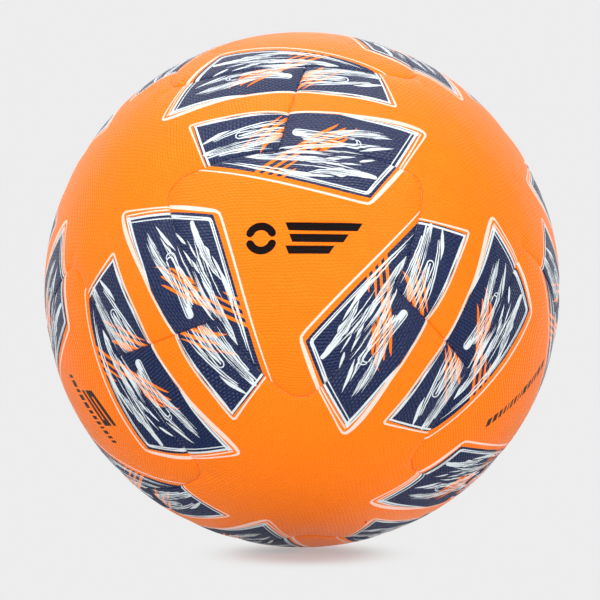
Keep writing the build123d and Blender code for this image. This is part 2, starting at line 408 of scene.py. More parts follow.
PATCH = {
    Part.RIGHT: PatchPart(
        ground=[(-3, -8), (48.1, 4.2), (51.2, 17.5), (54.0, 28.6), (46.2, 27.9), (36.4, 26.0), (27, 24.5),
                (13, 22.1), (-3, 18.6)],
        borders=[
            (Ink.PEACH, False, [(-1.5, 19.4, .7), (6.5, 21.2, .7), (13, 22.6, .8), (20, 24.1, .9),
                (27, 25.2, 1.3), (36.4, 27.3, 1.9), (46.2, 29.5, 2.1), (53.6, 30.4, 1.7), (56.4, 29.6, 1.3),
                (56.3, 26.5, .8), (54.0, 18, .7), (50.4, 5, .7)]),
            (Ink.PEACH, False, [(54.6, 28.2, .6), (52.5, 18, .6), (49.2, 5, .6)]),
            (Ink.GREY, True, [(-1, 19.0, .5), (10, 21.5, .5), (22, 24.0, .5)]),
            (Ink.GREY, True, [(20, 23.6, .4), (28.6, 24.3, 1.4), (36.4, 25.4, 2.0), (46.2, 26.9, 2.5),
                (53.6, 27.6, 2.4)]),
            (Ink.NAVY, True, [(30, 24.4, .2), (40, 26.1, .3), (51.5, 27.5, .25)]),
            (Ink.GREY, True, [(53.0, 28.0, 1.1), (50.6, 17.5, 1.0), (47.2, 4, 1.1)]),
            (Ink.GREY, True, [(50.9, 26.2, .5), (48.6, 17, .5), (45.1, 4, .5)]),
        ],
        strokes=[
            Bundle((14, 10.4), (45.2, 21.0), (2.6, 3.2), 7, .75, .6, .22, 3),
            Streak((22, 12.0), (43.6, 18.8), 2.0, .5, .2, .2, 5),
            Streak((32.0, 7.8), (45.0, 14.4), 1.3, .2, .1, .1, 6),
            Streak((29.0, 8.6), (39.6, 13.4), .7, .1, .1, .1, 7),
            Streak((5.0, 9.6), (23.5, 11.4), 2.9, -.3, .08, .95, 8),
            Capsule((5.6, 9.9), (28.6, 11.2), 3.1, .5),
            Capsule((14.0, 9.2), (29.8, 10.6), 4.1, .4),
            Bundle((-1, 0.2), (38.4, 12.4), (1.2, 1.4), 3, .5, .4, .1, 9),
            Bundle((7.5, 6.6), (21.5, 9.4), (2.4, 1.6), 4, .55, .2, .3, 10),
            Streak((10.2, 1.6), (33.5, 6.8), .6, .7, .2, .2, 12),
            Bundle((17, 1.9), (39.0, 6.6), (1.2, .8), 3, .5, .3, .2, 13),
        ],
        scratches=[
            Bundle((8.5, 9.4), (30, 13.0), (2.0, 3.4), 5, .3, -.2, .3, 61),
            Bundle((20, 11.2), (45, 20.4), (3.4, 4.4), 7, .34, .5, .35, 62),
        ],
        hatch=[
            [(1.5, -3.5, 1.3), (11.4, 7.6, 1.6), (18.8, 15.4, 1.1), (20.8, 18.0, .2)],
            [(5.2, -2.0, 1.2), (14.2, 7.2, 1.3), (22.6, 15.4, 1.0), (24.2, 17.2, .2)],
            [(9.4, -1.0, 1.1), (18.4, 7.8, 1.5), (26.4, 14.6, .8), (28.6, 18.8, .2)],
            [(13.6, .2, 1.0), (19.2, 6.0, 1.7), (24.8, 10.8, 1.0), (26.0, 12.2, .2)],
        ],
    ),
    Part.LEFT: PatchPart(
        ground=[(3, -10), (3, 19.2), (-9, 17.9), (-17, 16.3), (-26.8, 13.8), (-39.0, 10.6), (-33.6, 0.2),
                (-26.0, -12.5)],
        borders=[
            (Ink.PEACH, False, [(1, 19.7, .5), (-9.2, 18.5, .7), (-17.2, 16.9, .7), (-26.8, 14.4, .8),
                (-38.6, 11.6, .9), (-40.5, 10.5, 1.0), (-39.7, 8.6, .9), (-34.4, -.1, .7),
                (-27.4, -12, .6)]),
            (Ink.GREY, True, [(1, 19.0, .6), (-9, 17.3, 1.0), (-17, 15.5, 1.1), (-26, 13.2, 1.4),
                (-33, 11.4, 1.3), (-38.2, 10.2, .8)]),
            (Ink.NAVY, True, [(-2, 18.4, .2), (-8, 17.6, .5), (-14, 16.3, .1)]),
            (Ink.NAVY, True, [(-17, 15.7, .1), (-22, 14.6, .5), (-28, 13.0, .1)]),
            (Ink.GREY, True, [(-37.9, 10.2, .9), (-32.6, .6, .9), (-25.4, -12, 1.0)]),
        ],
        strokes=[
            Bundle((-29.5, -4.9), (1.5, 6.4), (3.0, 2.6), 8, .72, .3, .06, 21),
            Streak((-30.0, -4.4), (-8, 3.6), 1.9, .4, .12, .9, 22),
            Streak((-32.4, .4), (-21.5, 7.7), 1.5, .4, .1, .2, 23),
            Bundle((-28.0, 1.8), (1.0, 15.6), (.9, 1.4), 2, .5, 1.1, .05, 24),
            Capsule((-17.2, 5.2), (3, 11.0), 2.9, .5),
            Bundle((-17.5, 4.4), (1.5, 10.0), (2.2, 4.4), 7, .62, .4, .16, 25),
            Bundle((-24, -3.9), (-2, 2.2), (1.4, 2.2), 4, .45, .3, .2, 26),
            Streak((-13, 9.0), (1.0, 14.0), .6, .3, .2, .3, 27),
        ],
        scratches=[
            Bundle((-29, -4.4), (1, 7.4), (2.2, 4.2), 6, .34, .3, .3, 63),
            Bundle((-17, 4.0), (1, 10.4), (2.4, 4.6), 6, .3, .4, .3, 64),
        ],
        hatch=[
            [(-7.0, -1.8, .2), (-5.4, 2.6, 1.7), (-2.0, 8.6, 1.6), (2.0, 14.6, 1.4)],
            [(-10.2, 1.8, .3), (-6.4, 7.2, 1.5), (-2.0, 13.8, 1.5), (2.0, 19.0, 1.4)],
            [(-12.6, 4.0, .2), (-8.4, 9.2, 1.2), (-4.8, 13.6, .9), (-2.2, 17.4, .2)],
            [(-15.8, -2.6, .4), (-14.0, .6, .9), (-11.2, 4.2, .2)],
            [(-4.0, 3.0, .3), (-1.6, 6.2, 1.2), (2.0, 11.0, 1.2)],
        ],
    ),
    Part.LOWER: PatchPart(
        ground=[(49.6, 12), (-6, 12), (-31, -2), (-30.5, -8.9), (-17.2, -10.4), (-8, -11.3), (1, -11.7),
                (16.8, -12.4), (33, -12.4), (40.5, -11.8), (44.5, -3.0), (48.0, 5.6)],
        borders=[
            (Ink.PEACH, False, [(53.2, 11, 1.5), (50.3, 5.5, 1.6), (47.9, 0, 1.8), (45.1, -6, 1.8),
                (42.4, -11.5, 1.5), (40.9, -13.8, 1.2), (38.0, -14.8, 1.0), (24.7, -15.1, 1.0),
                (12.9, -14.8, .9), (0, -14.0, .9), (-14, -12.9, .7), (-24, -12.0, .6), (-34, -11.0, .5)]),
            (Ink.GREY, True, [(-21.7, -7.8, .1), (-14, -8.6, .5), (-5, -9.6, .9), (5, -10.2, 1.1),
                (15, -10.6, 1.3), (26, -10.7, 1.3), (36, -10.4, 1.4), (38.9, -9.9, 1.5), (40.2, -7.4, 1.5),
                (43.2, -.5, 1.6), (46.4, 6.5, 1.7), (48.2, 11, 1.7)]),
            (Ink.NAVY, True, [(4, -10.3, .2), (20, -10.9, .3), (37.8, -10.4, .25)]),
            (Ink.NAVY, True, [(40.4, -7.0, .2), (43.4, -.2, .3), (45.4, 4.5, .15)]),
        ],
        strokes=[
            Streak((-12.6, -4.6), (7, -3.4), 2.6, .5, .06, .02, 41),
            Bundle((-8.5, -4.0), (33.0, -1.6), (1.6, 2.0), 5, .55, .9, .25, 42),
            Bundle((2, -3.6), (34.6, -.2), (1.4, 2.4), 4, .5, 1.0, .3, 43),
            Bundle((-2.5, -1.9), (24.0, 3.6), (1.0, 2.2), 4, .45, .7, .25, 44),
            Streak((17.5, -1.4), (31.0, 4.6), 1.5, .3, .15, .2, 45),
            Streak((33.0, 2.7), (39.2, 6.2), 1.2, .2, .1, .3, 46),
            Streak((22.0, -1.6), (34.2, 1.6), .9, .2, .2, .2, 47),
            Streak((2.5, -8.9), (24.5, -6.9), 1.6, -.9, .25, .2, 48),
            Streak((40.4, -2.2), (14.0, -7.6), 2.9, -.8, .22, .55, 49),
            Streak((30.5, -3.6), (6.0, -5.8), .6, -.5, .2, .2, 50),
            Streak((-16.0, -7.6), (9.0, -8.0), .6, -.6, .2, .2, 51),
        ],
        scratches=[
            Bundle((-9, -4.1), (16, -1.6), (1.5, 2.6), 5, .28, .9, .3, 65),
            Bundle((10, -3.0), (36, .6), (3.0, 5.0), 6, .34, .9, .35, 66),
            Bundle((16, -7.0), (38, -3.0), (1.2, 2.0), 4, .24, .8, .4, 67),
        ],
        hatch=[
            [(-8.0, -13.0, 1.5), (1.0, -3.4, 1.3), (9.0, 5.0, 1.2)],
            [(-4.2, -13.0, 1.4), (4.0, -4.4, 1.1), (13.0, 5.0, 1.0)],
            [(-.4, -13.0, 1.3), (5.4, -6.6, 1.1), (9.6, -2.4, .2)],
            [(3.2, -13.0, 1.1), (6.8, -9.2, .9), (9.2, -6.8, .2)],
        ],
    ),
}


# ---- panels ----------------------------------------------------------------------------------------

@dataclass(frozen=True)
class Cover:
    """Sizes of the panelled cover, in millimetres and degrees.

    Attributes:
        radius: Radius of the whole ball, over the skins.
        skin: Thickness of a skin.
        tip_polar: Angle from a corner panel's middle to one of its tips.
        junction_polar: Angle from a corner panel's middle to one of its seam junctions.
        junction_turn: Turn from a tip on to the next junction.
        tip_radius: Rounding of a tip.
        bow: How far a long seam stands off the straight way, as a share of its length.
        gap: Width of a seam between the skins.
        roll: Depth and reach of the rolled edge along a seam.
        sink: Depth and reach of the wide hollow that the seams lie in.
        spur: Length of the crease that runs on beyond a tip.
    """

    radius: float
    skin: float = 1.2
    tip_polar: float = 32.9
    junction_polar: float = 22.4
    junction_turn: float = 68.4
    tip_radius: float = 3.5
    bow: float = 0.04
    gap: float = 0.3
    roll: tuple[float, float] = (0.7, 2.0)
    sink: tuple[float, float] = (0.45, 4.2)
    spur: float = 5.0

    BEND: ClassVar[float] = 2.1
    SEAM_POINTS: ClassVar[int] = 41

    def corner_seams(self, turn: np.ndarray) -> list[np.ndarray]:
        """Six bowed seams round a corner panel, each as directions, counter-clockwise.

        Args:
            turn: The panel's axes, x towards its first tip.

        Returns:
            Seams tip to junction and junction to tip in turn, with the tips left sharp.
        """
        ends = []
        for k in range(3):
            ends.append(from_polar(turn, self.tip_polar, 120 * k))
            ends.append(from_polar(turn, self.junction_polar, 120 * k + self.junction_turn))
        seams = []
        for start, end in zip(ends, ends[1:] + ends[:1]):
            outward = unit(np.cross(end - start, start + end))
            chord = np.linalg.norm(end - start)
            t = np.linspace(0, 1, self.SEAM_POINTS)[:, None]
            seams.append(unit(start + (end - start) * t + outward * (4 * self.bow * chord * t * (1 - t))))
        return seams

    def corner_loop(self, turn: np.ndarray) -> list[np.ndarray]:
        """The seams of a corner panel with its tips rounded, as pieces between sharp junctions."""
        seams = self.corner_seams(turn)
        pieces = []
        for k in range(3):
            coming, going = seams[2 * k - 1], seams[2 * k]
            tip = going[0]
            cut = self.BEND * self.tip_radius / self.radius
            coming = coming[np.linalg.norm(coming - tip, axis=1) > cut]
            going = going[np.linalg.norm(going - tip, axis=1) > cut]
            t = np.linspace(0, 1, 13)[1:-1, None]
            arc = unit(coming[-1] * (1 - t) ** 2 + tip * (2 * t * (1 - t)) + going[0] * t ** 2)
            pieces.append(np.vstack([coming, arc, going]))
        return pieces


@dataclass(frozen=True)
class Layout:
    """Where the panels lie: a cube's corners and faces, turned so that one corner looks forward.

    Attributes:
        azimuth: Direction of the front corner panel, sideways, in degrees.
        elevation: Direction of the front corner panel, upwards.
        roll: Turn of its lowest tip from straight down.
    """

    azimuth: float = -1.3
    elevation: float = 8.5
    roll: float = 2.0

    def axes(self) -> tuple[list[np.ndarray], list[np.ndarray]]:
        """Directions of the eight corner panels and of the six face panels."""
        front = from_compass(self.azimuth, self.elevation)
        downwards = facing(front, np.array([0.0, 0.0, -1.0]))
        plane = facing(front, from_polar(downwards, 90, self.roll))
        tilt = math.degrees(math.acos(1 / math.sqrt(3)))
        cube = [from_polar(plane, tilt, 120 * k) for k in range(3)]
        corners = [unit(cube[0] * i + cube[1] * j + cube[2] * k)
                   for i in (1, -1) for j in (1, -1) for k in (1, -1)]
        return corners, [axis * sign for sign in (1, -1) for axis in cube]


@dataclass
class Seams:
    """Seam lines on the ball, with the distance from any point to the nearest of them.

    Attributes:
        cover: Sizes of the cover.
        points: Directions along the lines.
        after: Index of the next point of the same line.
        depth: How deep the line is at each point, as a share of a full seam.
    """

    cover: Cover
    points: np.ndarray
    after: np.ndarray
    depth: np.ndarray
    tree: KDTree = field(init=False)

    FADE: ClassVar[float] = 2.4

    def __post_init__(self) -> None:
        """Index the points, and find the point before each of them."""
        self.tree = KDTree(len(self.points))
        for k, point in enumerate(self.points):
            self.tree.insert(Vector(point), k)
        self.tree.balance()
        self.before = np.arange(len(self.points))
        self.before[self.after] = np.arange(len(self.points))

    def distances(self, directions: np.ndarray) -> np.ndarray:
        """Distances in millimetres to the nearest line, longer near a line that fades out."""
        nearest = np.array([[found[1] for found in self.tree.find_n(Vector(d), 2)] for d in directions])
        best = np.full(len(directions), np.inf)
        for ends in (self.after, self.before):
            for column in range(nearest.shape[1]):
                first = nearest[:, column]
                start, end = self.points[first], self.points[ends[first]]
                run = end - start
                t = np.einsum("ij,ij->i", directions - start, run)
                t = np.clip(t / np.maximum(np.einsum("ij,ij->i", run, run), 1e-12), 0, 1)
                foot = start + run * t[:, None]
                depth = self.depth[first] * (1 - t) + self.depth[ends[first]] * t
                gap = np.linalg.norm(directions - foot, axis=1) * self.cover.radius
                best = np.minimum(best, np.where(depth > 0.01, gap + self.FADE * (1 - depth), np.inf))
        return best

    def drop(self, directions: np.ndarray) -> np.ndarray:
        """How far the surface lies below the ball's full radius, in millimetres."""
        roll_depth, roll_reach = self.cover.roll
        sink_depth, sink_reach = self.cover.sink
        gap = np.maximum(self.distances(directions) - self.cover.gap / 2, 0)
        rolled = np.clip(1 - gap / roll_reach, 0, 1)
        return (roll_depth * (1 - np.sqrt(np.maximum(1 - rolled ** 2, 0)))
                + sink_depth * np.exp(-(gap / sink_reach) ** 2))


SPUR_POINTS = 12
SPUR_START = -1.5
SPUR_DEPTH = (0.75, 0.12)


def all_seams(cover: Cover, turns: list[np.ndarray], straight: list[np.ndarray]) -> Seams:
    """Seam lines of the whole ball.

    Args:
        cover: Sizes of the cover.
        turns: Axes of the corner panels.
        straight: Points of the seams between two face panels.

    Returns:
        The seams, and the short creases that run on beyond the tips and fade out.
    """
    lines = []
    for turn in turns:
        lines += [(piece, np.ones(len(piece))) for piece in cover.corner_loop(turn)]
        for k in range(3):
            apex = from_polar(turn, cover.tip_polar, 120 * k)
            outward = unit(apex - turn[:, 2] * (apex @ turn[:, 2]))
            t = np.linspace(SPUR_START, cover.spur, SPUR_POINTS)[:, None] / cover.radius
            lines.append((unit(apex + outward * t), np.linspace(*SPUR_DEPTH, SPUR_POINTS)))
    lines += [(piece, np.ones(len(piece))) for piece in straight]
    after, count = [], 0
    for points, _ in lines:
        after.append(np.append(np.arange(1, len(points)), len(points) - 1) + count)
        count += len(points)
    return Seams(cover, np.vstack([points for points, _ in lines]), np.concatenate(after),
                 np.concatenate([depth for _, depth in lines]))


SHARPEST = 0.35
CLEAR = 0.93
CLEAR_AT_CORNERS = 0.6


def inset(loop: np.ndarray, reach: float, corners: np.ndarray) -> np.ndarray:
    """Closed outline moved inwards on a flat map, its sharp corners mitred.

    Args:
        loop: Points, counter-clockwise, without a repeated first point.
        reach: Distance moved.
        corners: True at the sharp corners.

    Returns:
        The moved points, fewer where they would fold over.
    """
    coming = unit(loop - np.roll(loop, 1, axis=0))
    going = unit(np.roll(loop, -1, axis=0) - loop)
    aside = unit(across(coming + going))
    lean = np.clip(np.abs(np.einsum("ij,ij->i", aside, across(coming))), SHARPEST, 1)
    moved = loop + aside * (reach / lean)[:, None]
    gaps = np.linalg.norm(moved[:, None, :] - loop[None, :, :], axis=2).min(axis=1)
    return moved[(gaps > CLEAR * reach) | corners & (gaps > CLEAR_AT_CORNERS * reach)]


def area(outline: np.ndarray) -> float:
    """Signed area of a closed outline."""
    x, y = outline[:, 0], outline[:, 1]
    return 0.5 * float(np.sum(x * np.roll(y, -1) - y * np.roll(x, -1)))


def inside(points: np.ndarray, outline: np.ndarray) -> np.ndarray:
    """True for the points that lie within a closed outline."""
    x, y = points[:, 0:1], points[:, 1:2]
    x0, y0 = outline[:, 0], outline[:, 1]
    x1, y1 = np.roll(x0, -1), np.roll(y0, -1)
    crosses = (y0 > y) != (y1 > y)
    with np.errstate(divide="ignore", invalid="ignore"):
        place = x0 + (y - y0) / (y1 - y0) * (x1 - x0)
    return (np.sum(crosses & (x < place), axis=1) % 2) == 1


@dataclass
class PanelMesh:
    """Flat triangulation of one panel, before it is lifted on to the ball.

    Attributes:
        flat: Points on the panel's map.
        triangles: Index rows, counter-clockwise.
        inks: Ink of each triangle.
        rim: Indices of the outer boundary, in order.
        hole: Indices of the boundary of a hole, in order, if there is one.
    """

    flat: np.ndarray
    triangles: np.ndarray
    inks: np.ndarray
    rim: np.ndarray
    hole: np.ndarray


def ordered_loops(triangles: np.ndarray) -> list[np.ndarray]:
    """Boundary loops of a triangulation, longest first."""
    edges = {(a, b) for t in triangles for a, b in ((t[0], t[1]), (t[1], t[2]), (t[2], t[0]))}
    following = {a: b for a, b in edges if (b, a) not in edges}
    loops = []
    while following:
        start = next(iter(following))
        loop, here = [start], following.pop(start)
        while here != start:
            loop.append(here)
            here = following.pop(here)
        loops.append(np.array(loop))
    return sorted(loops, key=len, reverse=True)


@dataclass
class Panel:
    """One panel of the cover and the print that falls on it.

    Attributes:
        cover: Sizes of the cover.
        chart: Map of the ball round the panel's middle.
        loop: Boundary on the map, counter-clockwise.
        corners: True at the boundary's sharp corners.
        prints: Patch maps that reach the panel, with the part of the patch on it.
        marks: Further shapes, straight on the panel's own map.
        hole_at: Middle of the valve mouth on the map.
        hole_radius: Radius of the valve mouth.
    """

    cover: Cover
    chart: Chart
    loop: np.ndarray
    corners: np.ndarray
    prints: list[tuple[Chart, Part]]
    marks: list[Shape] = field(default_factory=list)
    hole_at: np.ndarray | None = None
    hole_radius: float = 0.0

    BESIDE_SEAMS: ClassVar[tuple[float, ...]] = (0.12, 0.28, 0.5, 0.8, 1.15, 1.8, 2.7, 4.0, 6.0)
    FINE_BELOW: ClassVar[float] = 1.2
    LONGEST_EDGE: ClassVar[float] = 6
    MOUTH_RINGS: ClassVar[tuple[float, ...]] = (1.0, 1.12, 1.3, 1.6, 2.1, 3.0)
    MOUTH_CLEAR: ClassVar[float] = 3.4
    MOUTH_POINTS: ClassVar[int] = 32
    PITCH: ClassVar[float] = 2.6
    ROW_SHARE: ClassVar[float] = 0.866
    GRID_INSET: ClassVar[float] = 7.0

    def shapes(self) -> list[tuple[Shape, int]]:
        """Printed shapes on the panel's map, each with the number of the patch it belongs to."""
        found = []
        for number, (chart, part) in enumerate(self.prints):
            for shape in PATCH[part].shapes():
                outline = self.chart.flatten(chart.lift(shape.outline))
                if area(outline) < 0:
                    outline = outline[::-1]
                found.append((Shape(shape.ink, outline, shape.ground, shape.kept_in), number))
        found += [(mark, -1) for mark in self.marks]
        return found

    def mesh(self) -> PanelMesh:
        """Cut the panel's map into triangles along the print and along lines beside the seams."""
        rim = inset(self.loop, self.cover.gap / 2, self.corners)
        shapes = self.shapes()
        points, edges, faces = [], [], []
        count = 0

        def add(outline: np.ndarray, whole: bool) -> None:
            """Add an outline, as a face if it is whole and as edges if not."""
            nonlocal count
            places = range(count, count + len(outline))
            if whole:
                faces.append(list(places))
            else:
                gaps = np.linalg.norm(outline - np.roll(outline, -1, axis=0), axis=1)
                edges.extend((a, b) for a, b, gap in zip(places, [*places[1:], count], gaps)
                             if gap < self.LONGEST_EDGE)
            points.append(outline)
            count += len(outline)

        for outline in [rim] + [shape.outline for shape, _ in shapes]:
            add(outline, True)
        for reach in self.BESIDE_SEAMS:
            line = inset(self.loop, self.cover.gap / 2 + reach, self.corners)
            add(line if reach <= self.FINE_BELOW else line[::2], False)
        if self.hole_at is not None:
            t = np.linspace(0, 2 * math.pi, self.MOUTH_POINTS + 1)[:-1]
            for ring in self.MOUTH_RINGS:
                circle = self.hole_radius * ring * np.column_stack([np.cos(t), np.sin(t)])
                add(self.hole_at + circle, ring == 1.0)
        low, high = rim.min(axis=0), rim.max(axis=0)
        levels = np.arange(low[1], high[1], self.PITCH * self.ROW_SHARE)
        grid = np.array([[x + self.PITCH * 0.5 * (j % 2), y] for j, y in enumerate(levels)
                         for x in np.arange(low[0], high[0], self.PITCH)])
        grid = grid[inside(grid, inset(self.loop, self.GRID_INSET, self.corners & False))]
        if self.hole_at is not None:
            away = np.linalg.norm(grid - self.hole_at, axis=1)
            grid = grid[away > self.MOUTH_CLEAR * self.hole_radius]
        flat = np.vstack([*points, grid])
        made = delaunay_2d_cdt([Vector(p) for p in flat], edges, faces, 1, 1e-4, True)
        out = np.array([tuple(v) for v in made[0]])
        keep, triangles, inks = len(shapes) + 1, [], []
        for triangle, sources in zip(made[2], made[5]):
            if 0 not in sources or keep in sources or len(triangle) != 3:
                continue
            triangles.append(triangle)
            inks.append(self.topmost(sources, shapes).value)
        triangles = np.array(triangles)
        a, b, c = (out[triangles[:, k]] for k in range(3))
        turn = (b[:, 0] - a[:, 0]) * (c[:, 1] - a[:, 1]) - (b[:, 1] - a[:, 1]) * (c[:, 0] - a[:, 0])
        triangles[turn < 0] = triangles[turn < 0][:, ::-1]
        used, triangles = np.unique(triangles, return_inverse=True)
        triangles = triangles.reshape(-1, 3)
        loops = ordered_loops(triangles)
        hole = loops[1] if self.hole_at is not None else np.array([], int)
        return PanelMesh(out[used], triangles, np.array(inks), loops[0], hole)

    @staticmethod
    def topmost(sources: list[int], shapes: list[tuple[Shape, int]]) -> Ink:
        """Ink of a triangle covered by some of the panel's shapes."""
        grounds = {shapes[s - 1][1] for s in sources if 0 < s <= len(shapes) and shapes[s - 1][0].ground}
        ink = Ink.COVER
        for s in sorted(sources):
            if not 0 < s <= len(shapes):
                continue
            shape, number = shapes[s - 1]
            if shape.kept_in and number >= 0 and number not in grounds:
                continue
            if shape.ink is Ink.HATCH:
                ink = Ink.PEACH if ink is Ink.GREY else Ink.COVER
            else:
                ink = shape.ink
        return ink


def closed(outline: np.ndarray, ink: Ink) -> Shape:
    """A mark's outline as a shape, turned counter-clockwise."""
    return Shape(ink, outline if area(outline) > 0 else outline[::-1], kept_in=False)


def emblem() -> list[Shape]:
    """Generic mark of the front panel: an open ring with three tapering bars beside it."""
    ring_at, ring_radius, ring_line = -17.0, 4.9, 3.2
    spacing, half, lean, taper = 4.7, 1.65, 1.3, 2.2
    made = []
    for first, last in ((25, 155), (205, 335)):
        rows = [(ring_at + ring_radius * math.cos(math.radians(a)), ring_radius * math.sin(math.radians(a)),
                 ring_line) for a in np.linspace(first, last, 9)]
        made.append(ribbon(rows, 0.8))
    for k, (left, right) in enumerate(((-7.4, 23.5), (-5.9, 17.8), (-7.4, 12.1))):
        y = spacing - spacing * k
        made.append(np.array([(left + lean, y - half), (right - taper, y - half), (right, y + half),
                              (left, y + half)]))
    return [closed(outline, Ink.BLACK) for outline in made]


def ticks(length: float, height: float, seed: int) -> list[Shape]:
    """A row of short slanting ticks of uneven length, centred on its map."""
    gap, slant = 1.1, 0.4 * height
    rng = np.random.default_rng(seed)
    made, x = [], -length / 2
    while x < length / 2:
        wide = rng.uniform(0.7, 3.2)
        made.append(np.array([(x, 0), (x + wide, 0), (x + wide + slant, height), (x + slant, height)]))
        x += wide + gap
    return [closed(outline, Ink.SLATE) for outline in made]


def size_numeral(left: float, low: float, wide: float, high: float, line: float) -> list[Shape]:
    """The numeral 5 of the ball's size, wide and slanting.

    Args:
        left: Place of its left side.
        low: Place of its lower side.
        wide: Its width.
        high: Its height.
        line: Thickness of its bars.

    Returns:
        Five bars that overlap a little.
    """
    half, thick, lap = high / 2, 1.5 * line, line * 0.9
    bars = [(0, 0, wide, line), (wide - thick, lap, wide, half),
            (0, half - line / 2, wide, half + line / 2), (0, half, thick, high - lap),
            (0, high - line, wide, high)]
    made = []
    for x0, y0, x1, y1 in bars:
        corners = np.array([(x0, y0), (x1, y0), (x1, y1), (x0, y1)])
        corners[:, 0] += 0.45 * corners[:, 1]
        made.append(closed(corners + np.array([left, low]), Ink.SLATE))
    return made


@dataclass(frozen=True)
class Decal:
    """Marks printed along a base line on the ball.

    Attributes:
        start: Sideways and upwards direction of the left end of the base line, in degrees.
        end: The same for its right end.
        shapes: Marks on a map centred on the base line, which runs along x.
    """

    start: Point
    end: Point
    shapes: list[Shape]

    def on(self, chart: Chart) -> list[Shape]:
        """The marks on another map of the ball."""
        left, right = from_compass(*self.start), from_compass(*self.end)
        own = Chart(facing(left + right, right), chart.radius)
        return [closed(chart.flatten(own.lift(shape.outline)), shape.ink) for shape in self.shapes]


DECALS = {
    0: Decal((-10.0, 10.6), (10.8, 10.6), emblem()),
    1: Decal((51.9, -31.5), (73.5, -16.9), ticks(43.0, 3.6, 5)),
    2: Decal((-68.9, -18.1), (-60.2, -36.1),
             ticks(35.0, 3.6, 8) + size_numeral(-8.0, 5.6, 18.0, 8.8, 2.1)),
}


# ---- finishes --------------------------------------------------------------------------------------

Socket = bpy.types.NodeSocket


class Nodes:
    """Short way to add nodes to a tree."""

    def __init__(self, tree: bpy.types.NodeTree) -> None:
        """Work on one tree."""
        self.tree = tree

    def surface(self, inputs: dict[str, object]) -> None:
        """Principled shader with these inputs, joined to the tree's output."""
        shader = self.add("ShaderNodeBsdfPrincipled", inputs)
        self.tree.links.new(shader.outputs[0], self.add("ShaderNodeOutputMaterial").inputs[0])

    def vector(self, operation: str, *values: object) -> Socket:
        """Vector result of a Vector Math node."""
        return self.add("ShaderNodeVectorMath", dict(enumerate(values)), operation=operation).outputs[0]

    def times(self, first: object, second: object) -> Socket:
        """Product of two numbers."""
        return self.maths("MULTIPLY", first, second)

    def rough(self, value: Socket, ends: Point) -> Socket:
        """Roughness between two ends, from the middle range of a noise."""
        return self.add("ShaderNodeMapRange", {0: value, 1: 0.3, 2: 0.7, 3: ends[0], 4: ends[1]}).outputs[0]

    def add(self, kind: str, inputs: dict[str | int, object] | None = None,
            **settings: object) -> bpy.types.Node:
        """A node with its settings set and its inputs linked or given their values."""
        node = self.tree.nodes.new(kind)
        for name, value in settings.items():
            setattr(node, name, value)
        for name, value in (inputs or {}).items():
            if isinstance(value, Socket):
                self.tree.links.new(value, node.inputs[name])
            else:
                node.inputs[name].default_value = value
        return node

    def maths(self, operation: str, *values: object) -> Socket:
        """Result of a Math node."""
        return self.add("ShaderNodeMath", dict(enumerate(values)), operation=operation).outputs[0]

    def noise(self, place: Socket, scale: float, detail: float = 3.0, rough: float = 0.55) -> Socket:
        """Value of a Noise Texture."""
        return self.add("ShaderNodeTexNoise", {"Vector": place, "Scale": scale, "Detail": detail,
                                               "Roughness": rough}).outputs["Fac"]

    def ramp(self, value: Socket, stops: list[tuple[float, Colour]]) -> Socket:
        """Colour of a ramp between two stops of position and colour."""
        node = self.add("ShaderNodeValToRGB", {0: value})
        elements = node.color_ramp.elements
        for element, (place, colour) in zip(elements, stops):
            element.position, element.color = place, (*colour, 1)
        return node.outputs[0]

    def mix(self, share: object, first: object, second: object) -> Socket:
        """Mixed colour."""
        node = self.add("ShaderNodeMix", data_type="RGBA")
        for name, value in (("Factor_Float", share), ("A_Color", first), ("B_Color", second)):
            socket = next(s for s in node.inputs if s.identifier == name)
            if isinstance(value, Socket):
                self.tree.links.new(value, socket)
            else:
                socket.default_value = value
        return next(s for s in node.outputs if s.identifier == "Result_Color")


def new_material(name: str) -> tuple[bpy.types.Material, Nodes]:
    """An empty node material and a way to fill it."""
    made = bpy.data.materials.new(name)
    made.use_nodes = True
    made.node_tree.nodes.clear()
    return made, Nodes(made.node_tree)


ROWS_PER_MM = 0.76
BEADS_PER_MM = 0.5
BEAD_SHARE = 0.62
DOME_POWER = 1.6
FINE_SHARE = 0.28
BEND = (5.0, 5.0, 0.0)


def grain_group() -> bpy.types.NodeTree:
    """Shared embossed grain: close rows of small bumps, with a broad mottle and fine pores.

    Returns:
        A group from a place in millimetres to height, mottle and pores.
    """
    tree = bpy.data.node_groups.new("embossed_grain", "ShaderNodeTree")
    face = tree.interface
    face.new_socket("Place", in_out="INPUT", socket_type="NodeSocketVector")
    for name in ("Height", "Mottle", "Pores"):
        face.new_socket(name, in_out="OUTPUT", socket_type="NodeSocketFloat")
    n = Nodes(tree)
    place = tree.nodes.new("NodeGroupInput").outputs[0]
    drift = n.add("ShaderNodeTexNoise", {"Vector": place, "Scale": 0.05, "Detail": 1.0}).outputs["Color"]
    split = n.add("ShaderNodeSeparateXYZ", {0: n.vector("ADD", place, n.vector("MULTIPLY", drift, BEND))})
    row = n.times(split.outputs["Y"], ROWS_PER_MM)
    every_other = n.maths("FRACT", n.times(n.maths("FLOOR", row), 0.5))
    along = n.maths("ADD", n.times(split.outputs["X"], BEADS_PER_MM), every_other)
    ridge, bead = (n.maths("SINE", n.times(n.maths("FRACT", run), math.pi)) for run in (row, along))
    beaded = n.times(ridge, n.maths("ADD", n.times(bead, BEAD_SHARE), 1 - BEAD_SHARE))
    fine = n.noise(place, 5.5, 4.0, 0.6)
    height = n.maths("ADD", n.maths("POWER", beaded, DOME_POWER), n.times(fine, FINE_SHARE))
    out = tree.nodes.new("NodeGroupOutput")
    tree.links.new(height, out.inputs["Height"])
    tree.links.new(n.noise(place, 0.09, 4.0, 0.6), out.inputs["Mottle"])
    tree.links.new(fine, out.inputs["Pores"])
    return tree


